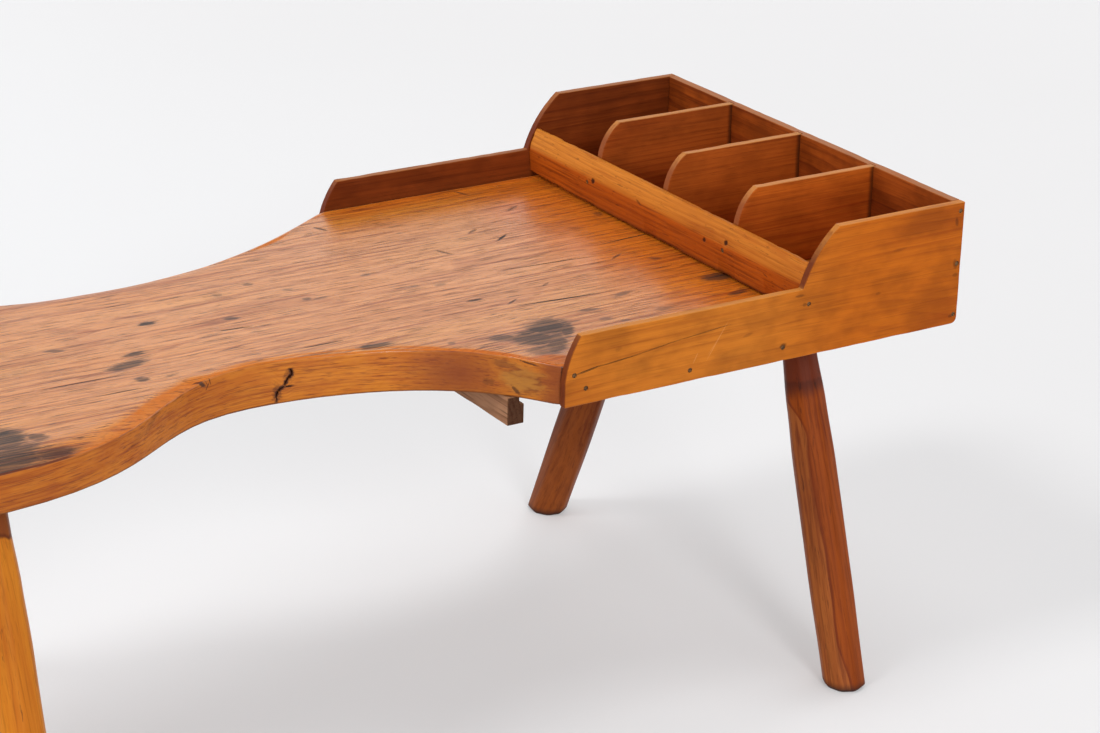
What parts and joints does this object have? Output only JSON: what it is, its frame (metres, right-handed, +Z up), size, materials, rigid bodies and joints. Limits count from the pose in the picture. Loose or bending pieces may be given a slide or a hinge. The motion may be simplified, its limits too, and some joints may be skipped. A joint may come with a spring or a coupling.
{
  "type": "cobblers bench",
  "caption": "Low wooden cobblers bench with a waisted seat plank, a railed work tray, an open compartment box and splayed shaved legs.",
  "frame": {"origin": "centre of the bounding box in plan, on the floor under the bench", "axes": "+X along the bench from the seat to the box end, +Y to the far side, +Z up"},
  "size_m": [1.143, 0.5062, 0.448],
  "materials": {
    "plank_wood": "worn satin finish on open-grained board",
    "near_side_wood": "satin honey finish",
    "far_side_wood": "satin, darkened with age",
    "end_board_wood": "satin, darkened with age",
    "divider_wood": "satin red brown",
    "front_bar_wood": "worn satin finish",
    "leg_wood": "hand-shaved, satin red brown",
    "runner_wood": "bare, coarse grain",
    "nail_iron": "dull, rust-darkened"
  },
  "bodies": {
    "root": {"plank": "plank_wood", "near_side_board": "near_side_wood", "far_side_board": "far_side_wood", "end_board": "end_board_wood", "divider_1": "divider_wood", "divider_2": "divider_wood", "divider_3": "divider_wood", "front_bar": "front_bar_wood", "leg_tray_near": "leg_wood", "leg_tray_far": "leg_wood", "leg_seat_near": "leg_wood", "leg_seat_far": "leg_wood", "runner_outer": "runner_wood", "runner_inner": "runner_wood", "nail_near_plank_1": "nail_iron", "nail_near_plank_2": "nail_iron", "nail_near_plank_3": "nail_iron", "nail_near_plank_4": "nail_iron", "nail_near_bar": "nail_iron", "nail_near_end_1": "nail_iron", "nail_near_end_2": "nail_iron", "nail_near_end_3": "nail_iron", "nail_far_plank_1": "nail_iron", "nail_far_plank_2": "nail_iron", "nail_far_plank_3": "nail_iron", "nail_far_plank_4": "nail_iron", "nail_far_bar": "nail_iron", "nail_far_end_1": "nail_iron", "nail_far_end_2": "nail_iron", "nail_far_end_3": "nail_iron", "nail_bar_divider_1": "nail_iron", "nail_bar_divider_2": "nail_iron", "nail_end_plank_1": "nail_iron", "nail_end_plank_2": "nail_iron", "nail_end_plank_3": "nail_iron", "nail_end_plank_4": "nail_iron", "nail_outer_runner_1": "nail_iron", "nail_outer_runner_2": "nail_iron", "nail_inner_runner_1": "nail_iron", "nail_inner_runner_2": "nail_iron"}
  },
  "joints": []
}
